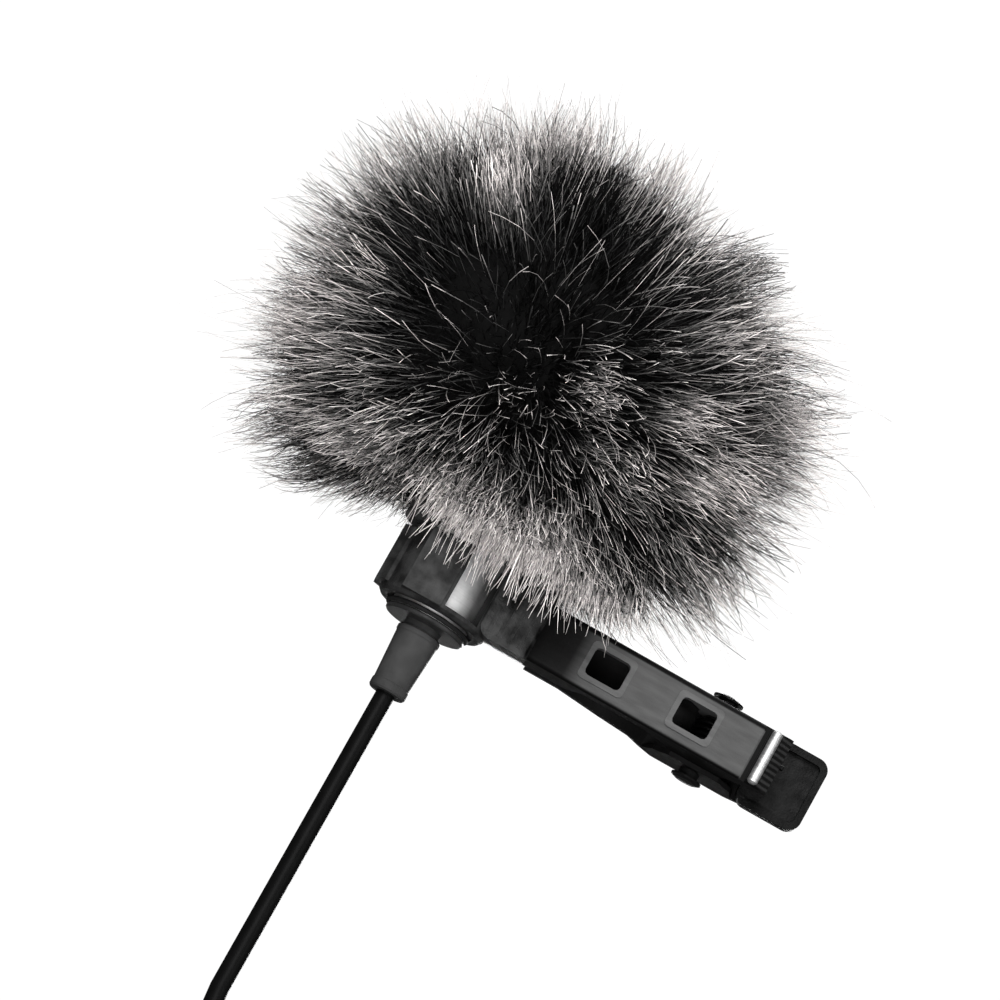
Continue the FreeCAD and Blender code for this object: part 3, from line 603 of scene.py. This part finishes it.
def strand_mesh(name, paths, widths, shades, stands_for):
    """One mesh of three-sided tapered strands. shades has one slot number per strand segment."""
    count = len(paths)
    along = unit(np.gradient(paths, axis=1))
    side = unit(np.cross(along, rng.normal(size=(count, 1, 3))))
    other = np.cross(along, side)
    blunt = rng.uniform(0.12, 0.6, (count, 1))
    taper = (1 - ALONG[None, :]) ** 0.6 * (1 - blunt) + blunt
    radius = (widths[:, None] * taper / 2)[..., None, None]
    angles = np.arange(SIDES) * math.tau / SIDES
    around = (side[:, :, None] * np.cos(angles)[None, None, :, None]
              + other[:, :, None] * np.sin(angles)[None, None, :, None])
    vertices = (paths[:, :, None] + around * radius).reshape(-1, 3)
    ring = np.arange(SIDES)
    after = (ring + 1) % SIDES
    low = np.arange(RINGS - 1)[:, None] * SIDES
    quads = np.stack([low + ring, low + after, low + SIDES + after, low + SIDES + ring],
                     axis=-1).reshape(-1, 4)
    starts = np.arange(count)[:, None] * RINGS * SIDES
    walls = (starts[:, :, None] + quads[None]).reshape(count, -1)
    caps = [starts + ring[::-1], starts + (RINGS - 1) * SIDES + ring]
    corners = np.concatenate([walls, *caps], axis=1)
    sizes = np.tile([4] * len(quads) + [SIDES] * 2, count)
    first = np.concatenate([[0], np.cumsum(sizes)[:-1]])
    slots = np.concatenate([np.repeat(shades, SIDES, axis=1), shades[:, :1], shades[:, -1:]],
                           axis=1)
    mesh = bpy.data.meshes.new(name)
    mesh.vertices.add(len(vertices))
    mesh.vertices.foreach_set("co", vertices.astype(np.float32).ravel())
    mesh.loops.add(corners.size)
    mesh.loops.foreach_set("vertex_index", corners.astype(np.int32).ravel())
    mesh.polygons.add(len(sizes))
    mesh.polygons.foreach_set("loop_start", first.astype(np.int32))
    mesh.polygons.foreach_set("material_index", slots.astype(np.int32).ravel())
    mesh.update(calc_edges=True)
    mesh.shade_smooth()
    for material in FUR:
        mesh.materials.append(material)
    return place_fur(bpy.data.objects.new(name, mesh), stands_for)


def place_fur(made, stands_for):
    bpy.context.collection.objects.link(made)
    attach(made, "windscreen")
    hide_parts(stands_for)
    return made


def pick_shades(tip_level, start):
    """Slot numbers along each strand: the darkest up to its start, then paler up to its tip."""
    t = ((ALONG[1:] + ALONG[:-1]) / 2)[None, :]
    rise = np.clip((t - start[:, None]) / (1.0 - start[:, None]), 0, 1) ** 0.6
    level = tip_level[:, None] * rise + rng.normal(0, 0.25, rise.shape)
    return np.clip(np.rint(level), 0, WHITEST).astype(int)


def on_pouch(tips):
    """Roots on the pouch's ball, on the line from the heart of the pile to each tip."""
    ray = unit(tips - heart)
    off = heart - pouch_centre
    along = ray @ off
    reach = -along + np.sqrt(along**2 - off @ off + (pouch_radius * 0.97) ** 2)
    roots = heart + ray * reach[:, None]
    roots[:, 2] = np.maximum(roots[:, 2], pouch_low[2] + 4 * MM)
    return roots


# Where pale tips crowd together, above 0, or thin out, below 0: (towards, sharpness, share)
PALE_LOBES = [
    ((-0.88, -0.25, -0.4), 9, 0.8),
    ((-0.5, -0.3, -0.8), 9, 1.2),
    ((0.69, -0.72, -0.12), 9, 0.4),
    ((-0.3, -0.74, 0.55), 10, -0.7),
    ((0.25, -0.82, 0.5), 10, -1.0),
    ((0.3, 0.9, 0.3), 5, 0.8),
    ((0.0, -1.0, 0.05), 3, -0.2),
    ((-0.61, -0.76, -0.2), 22, -0.7),
    ((-0.32, -0.94, -0.1), 18, -0.6),
    ((-0.04, -0.99, 0.1), 18, -0.6),
    ((-0.18, -0.65, -0.74), 14, -0.6),
    ((0.52, -0.54, -0.66), 14, -0.6),
    ((-0.76, -0.62, 0.0), 10, -1.0),
]

# Where fine white hair thins out: the front, where the dark pile shows
HAZE_LOBES = [((0.0, -1.0, 0.05), 1.6, -0.98), ((-0.7, -0.65, 0.25), 4, -0.5)]


def crowding(directions, lobes):
    """How many tufts stand in each direction, beside how many would evenly."""
    crowd = np.ones(len(directions))
    for toward, sharp, share in lobes:
        crowd += share * lobe(directions, toward, sharp)
    return np.maximum(crowd, 0.05)


# Where the biggest pale locks stand, and how many times a tuft's share of strands they have
LOCK_WEIGHT = 8
LOCKS = unit(np.array([(-0.5, -0.76, 0.4), (0.27, -0.94, -0.21), (0.63, -0.77, -0.09),
                       (0.81, -0.54, -0.24), (-0.88, -0.25, -0.41)]))


class Hair:
    """Strands of one kind that stand together in tufts.

    spread is how far strands stray from their tuft's direction, length a share of the pile's
    reach, level the tip's slot in FUR_SHADES, width in mm, and start the share of a strand
    that stays dark."""

    def __init__(self, count, tufts, spread, length, level, width, start, lobes):
        middles = unit(spread_directions(tufts) + rng.normal(0, 0.06, (tufts, 3)))
        weight = rng.lognormal(0, 0.95, tufts)
        weight *= crowding(middles, lobes)
        lean_of_tuft = rng.normal(0, 0.13, (tufts, 3))
        level_of_tuft = rng.normal(level, 0.8, tufts)
        if lobes is PALE_LOBES:
            locks = np.argmax(middles @ LOCKS.T, axis=0)
            middles[locks] = LOCKS
            weight[locks] = weight.mean() * LOCK_WEIGHT
            lean_of_tuft[locks] = 0
            level_of_tuft[locks] = level + 0.6
        owner = rng.choice(tufts, count, p=weight / weight.sum())
        self.directions = unit(middles[owner] + rng.normal(0, spread, (count, 3)))
        self.length = rng.normal(length, 0.04, tufts)[owner]
        self.length *= 1 - np.abs(rng.normal(0, 0.06, count))
        self.lean = lean_of_tuft[owner] + rng.normal(0, 0.06, (count, 3))
        self.level = level_of_tuft[owner] + rng.normal(0, 0.7, count)
        self.width = rng.uniform(width * 0.7, width * 1.3, count) * MM
        self.start = rng.uniform(start - 0.13, start + 0.13, count)


PILE = [
    Hair(16000, tufts=500, spread=0.13, length=0.79, level=0.7, width=0.18, start=0.5, lobes=[]),
    Hair(8500, tufts=600, spread=0.055, length=0.87, level=2.9, width=0.14, start=0.5,
         lobes=PALE_LOBES),
    Hair(11500, tufts=600, spread=0.04, length=0.97, level=5.7, width=0.125, start=0.63,
         lobes=PALE_LOBES),
    Hair(8000, tufts=700, spread=0.1, length=1.02, level=6.6, width=0.07, start=0.45,
         lobes=HAZE_LOBES),
]
STRAYS = 0.025  # the share of strands that are longer than the rest
CLEAR_OF_RING = 8 * MM  # within this of the capsule's axis, tips stay OVER_RING above the ring
OVER_RING = 3 * MM
COLLAR_STRANDS = 3600
COLLAR_RADIUS = 7.0 * MM
FRINGE_STRANDS = 1800
LONG_SHARE = 0.08  # the share of the fringe's strands that reach down past the ring
FRINGE_DARK_FROM = 9  # mm to the right of the capsule, beyond which only the tips are pale
FRINGE_PLATE_FROM = 11.5  # and beyond which they reach over the arm's plate


def hem_height(tips):
    """Least height of the tips: just over the ring, and lower at the far left.

    Only the hair behind the capsule hangs lower, so that it passes in front of the clip when
    the capsule is turned by half a turn."""
    left = (mic_x - tips[:, 0]) / MM
    behind = np.clip((tips[:, 1] - mic_y) / MM, 0, 2) / 2
    droop = np.clip(left - 10, 0, 8) * 0.5 * behind - 1.6 * np.exp(-((left - 8) / 2.5) ** 2)
    return ring_top + (rng.uniform(0.6, 3.0, len(tips)) - droop) * MM


def make_pile():
    """The pile: dense dark hair, longer grey and pale-tipped hair, and fine white hair over it."""
    directions, length, lean, level, width, start = (
        np.concatenate([getattr(hair, part) for hair in PILE])
        for part in ("directions", "length", "lean", "level", "width", "start"))
    count = len(directions)
    stray = rng.random(count) < STRAYS
    length[stray] *= rng.uniform(1.03, 1.12, stray.sum())
    tips = pile_centre + directions * (pile_reach(directions) * length)[:, None]
    sideways = lean - directions * np.sum(lean * directions, axis=1, keepdims=True)
    tips += sideways * pile_radius * 0.6
    tips[:, 2] = np.maximum(tips[:, 2], hem_height(tips))
    bend = lean * 0.7 + rng.normal(0, 0.06, (count, 3))
    paths = strand_paths(on_pouch(tips), tips, bend, rng.uniform(0.0, 0.07, (count, 1, 1)))
    shades = pick_shades(level, start)
    clear = np.hypot(tips[:, 0] - mic_x, tips[:, 1] - mic_y) > CLEAR_OF_RING
    allowed = clear | (tips[:, 2] > ring_top + OVER_RING)
    angle = np.arctan2(directions[:, 1], directions[:, 0]) / math.tau
    sector = np.floor(angle * SECTORS).astype(int) % SECTORS
    for number in range(SECTORS):
        chosen = (sector == number) & allowed
        strand_mesh(f"fur_sector_{number + 1}", paths[chosen], width[chosen], shades[chosen],
                    "fur_pile")


def make_collar():
    """Short hair round the neck of the pouch, over the top of the ring and palest in front."""
    count = COLLAR_STRANDS
    turn = rng.uniform(0, math.tau, count)
    flat = np.stack([np.cos(turn), np.sin(turn), np.zeros(count)], axis=1)
    up = np.array([0.0, 0.0, 1.0])
    base = np.array([mic_x, mic_y, 0.0])
    roots = base + flat * COLLAR_RADIUS + up * rng.uniform(5, 11, count)[:, None] * MM
    left = np.clip(-flat[:, :1], 0, 1)
    tip_reach = rng.uniform(9.5, 17.0, count)[:, None] * (1 - 0.4 * left) * MM
    tip_z = ring_top + (0.6 + np.abs(rng.normal(0, 2.4, count))[:, None] + 1.2 * left) * MM
    tips = base + flat * tip_reach + up * tip_z + rng.normal(0, 0.6 * MM, (count, 3))
    tips[:, 2] = np.maximum(tips[:, 2], ring_top + 0.4 * MM)
    bend = flat * 0.25 + up * 0.12 + rng.normal(0, 0.08, (count, 3))
    paths = strand_paths(roots, tips, bend, rng.uniform(0.0, 0.08, (count, 1, 1)))
    front = np.clip(-flat[:, 1], 0, 1)
    level = rng.normal(4.3, 1.5, count) + 2.4 * front
    width = rng.uniform(0.09, 0.15, count) * MM
    strand_mesh("fur_collar", paths, width, pick_shades(level, rng.uniform(0.3, 0.6, count)),
                "fur_pile")


def make_fringe():
    """Pale hair at the front of the hem, with a few long strands that reach past the ring."""
    count = FRINGE_STRANDS
    across = rng.triangular(-8, 2, 19, count)
    low = rng.random(count) < LONG_SHARE
    roots = np.stack([mic_x + across * 0.8 * MM, np.full(count, mic_y - 8.5 * MM),
                      rng.uniform(9, 15, count) * MM], axis=1)
    tips = np.stack([mic_x + (across + rng.normal(0.3, 1.2, count)) * MM,
                     mic_y - rng.uniform(6.9, 9.5, count) * MM,
                     rng.uniform(2.0, 5.0, count) * MM], axis=1)
    over_plate = across > FRINGE_PLATE_FROM
    tips[over_plate, 2] -= rng.uniform(0, 1.6, over_plate.sum()) * MM
    tips[low, 2] = rng.uniform(-1.2, 2.0, low.sum()) * MM
    bend = np.stack([rng.normal(0, 0.08, count), rng.uniform(-0.3, -0.1, count),
                     rng.normal(0, 0.05, count)], axis=1)
    paths = strand_paths(roots, tips, bend, rng.uniform(0.0, 0.06, (count, 1, 1)))
    width = rng.uniform(0.1, 0.17, count) * MM
    level = rng.normal(6.6, 0.8, count)
    start = rng.uniform(0.0, 0.3, count) + 0.4 * (across > FRINGE_DARK_FROM)
    strand_mesh("fur_fringe", paths, width, pick_shades(level, start), "fur_pile")


CORE_SHARE = 0.6
CORE_OVER_RING = 3.5 * MM


def make_fur_core():
    """Dense dark fur at the heart of the pile, where no single strand shows."""
    form = bmesh.new()
    bmesh.ops.create_icosphere(form, subdivisions=5, radius=1)
    for vertex in form.verts:
        direction = np.array([vertex.co.normalized()])
        lumps = sum(math.sin(k * vertex.co.dot(Vector(a)) + k)
                    for k, a in ((7, (1, 0.3, 0)), (9, (0, 1, 0.4)), (11, (0.5, 0, 1))))
        reach = pile_reach(direction)[0] * (CORE_SHARE + 0.02 * lumps)
        vertex.co = Vector(pile_centre) + vertex.co.normalized() * reach
        vertex.co.z = max(vertex.co.z, ring_top + CORE_OVER_RING)
    mesh = bpy.data.meshes.new("fur_core")
    form.to_mesh(mesh)
    form.free()
    mesh.shade_smooth()
    mesh.materials.append(FUR[0])
    place_fur(bpy.data.objects.new("fur_core", mesh), "fur_pile")


make_fur_core()
make_pile()
make_collar()
make_fringe()


# ---------------------------------------------------------------------------------------------
# Floor, background and lights
# ---------------------------------------------------------------------------------------------
FLOOR_SIZE = 6  # metres
FLOOR_DROP = 900 * MM
SKY_SEEN = 1.05  # the background's strength to the camera
SKY_LIGHT = 0.12  # and as a light
LIGHTS = [  # (name, place from the middle of the pile, width and height, power)
    ("key", (-0.12, -0.95, 0.42), (0.4, 0.4), 14.5),
    ("fill", (0.6, -0.5, -0.02), (0.25, 0.5), 1.5),
    ("low", (0.0, -0.85, -0.4), (0.4, 0.4), 10),
    ("top", (0.0, 0.3, 0.8), (0.5, 0.5), 5),
    ("rear", (0.15, 0.9, 0.2), (0.5, 0.5), 10),
]


def make_floor():
    """A pale floor that stays pale far from the lights, and throws no light up at the object."""
    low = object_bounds()[0].z - FLOOR_DROP
    bpy.ops.mesh.primitive_plane_add(size=FLOOR_SIZE, location=(0, 0, low))
    floor = bpy.context.active_object
    floor.name = "floor"
    made = Maker("floor", shade(0.75), 0.7, specular=0.1)
    made.shader.inputs["Emission Color"].default_value = shade(1.0)
    made.shader.inputs["Emission Strength"].default_value = 0.85
    floor.data.materials.append(made.material)
    floor.visible_diffuse = False
    floor.visible_glossy = False


def make_lights():
    """Area lights round the pile, turned towards its middle."""
    centre = Vector(pile_centre)
    for name, place, size, power in LIGHTS:
        data = bpy.data.lights.new(name, "AREA")
        data.shape = "RECTANGLE"
        data.size, data.size_y = size
        data.energy = power
        light = bpy.data.objects.new(name, data)
        bpy.context.collection.objects.link(light)
        light.location = centre + Vector(place)
        light.rotation_euler = (-Vector(place)).to_track_quat("-Z", "Y").to_euler()


def make_world():
    """White to the camera, and a softer white to light the object with."""
    world = bpy.data.worlds.new("world")
    bpy.context.scene.world = world
    world.use_nodes = True
    tree = world.node_tree
    tree.nodes.clear()
    out = tree.nodes.new("ShaderNodeOutputWorld")
    ray = tree.nodes.new("ShaderNodeLightPath")
    mix = tree.nodes.new("ShaderNodeMixShader")
    tree.links.new(ray.outputs["Is Camera Ray"], mix.inputs[0])
    for socket, strength in ((mix.inputs[1], SKY_LIGHT), (mix.inputs[2], SKY_SEEN)):
        white = tree.nodes.new("ShaderNodeBackground")
        white.inputs["Color"].default_value = (1, 1, 1, 1)
        white.inputs["Strength"].default_value = strength
        tree.links.new(white.outputs[0], socket)
    tree.links.new(mix.outputs[0], out.inputs["Surface"])


make_floor()
make_world()
make_lights()
bpy.context.scene.view_settings.view_transform = "Standard"

bpy.context.view_layer.update()
